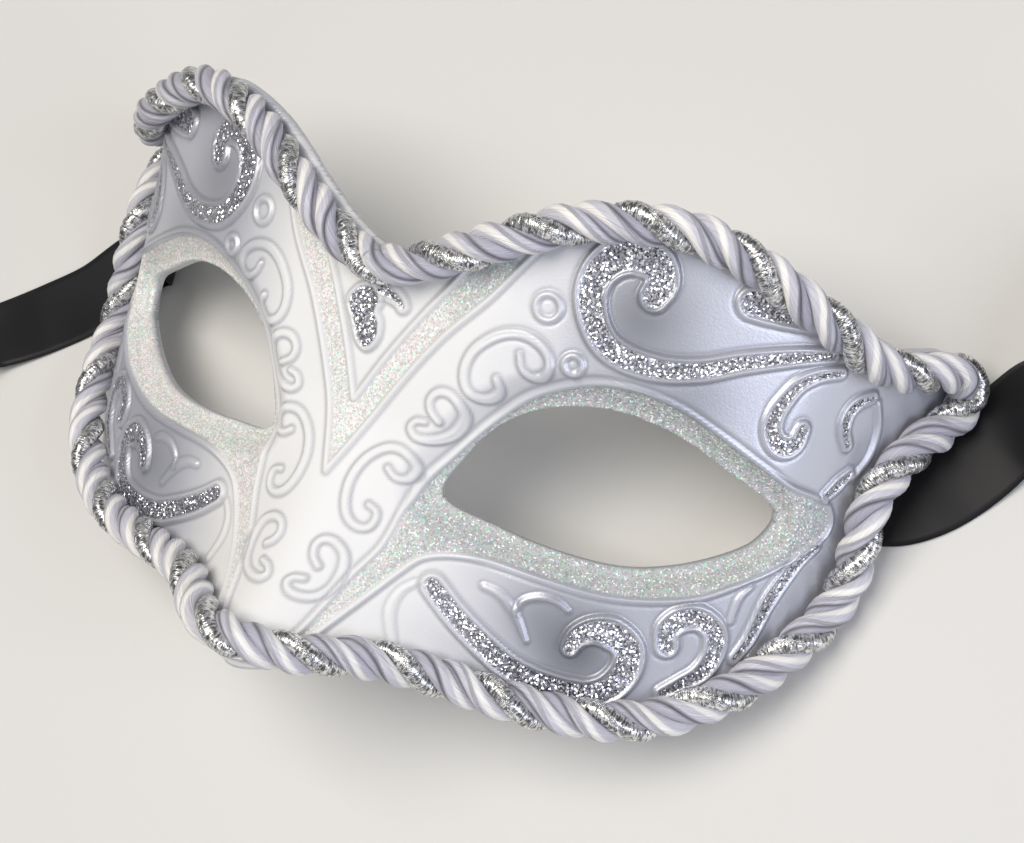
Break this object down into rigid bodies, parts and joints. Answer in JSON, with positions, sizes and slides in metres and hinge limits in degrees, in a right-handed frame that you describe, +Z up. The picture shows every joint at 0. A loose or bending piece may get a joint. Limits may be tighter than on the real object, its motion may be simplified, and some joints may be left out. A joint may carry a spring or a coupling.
{
  "type": "eye mask",
  "caption": "Masquerade half mask for the eyes: a thin moulded shell with raised scrolls, a twisted rope trim round its rim and satin tie ribbons, lying face up.",
  "frame": {"origin": "on the floor, under the middle of the lying mask without its ribbons", "axes": "+X to the wearer's left, +Y towards the forehead, +Z up, out of the face of the mask"},
  "size_m": [0.2955, 0.1261, 0.0546],
  "materials": {
    "shell_paint": "satin pearl white paint on moulded plastic, with silver and white glitter",
    "rope_satin": "twisted white satin and silver metallic strands",
    "ribbon_satin": "black satin ribbon"
  },
  "bodies": {
    "root": {"mask_shell": "shell_paint", "rope_trim": "rope_satin", "ribbon_left": "ribbon_satin", "ribbon_left_roll": "ribbon_satin", "ribbon_right": "ribbon_satin", "ribbon_right_roll": "ribbon_satin"}
  },
  "joints": []
}
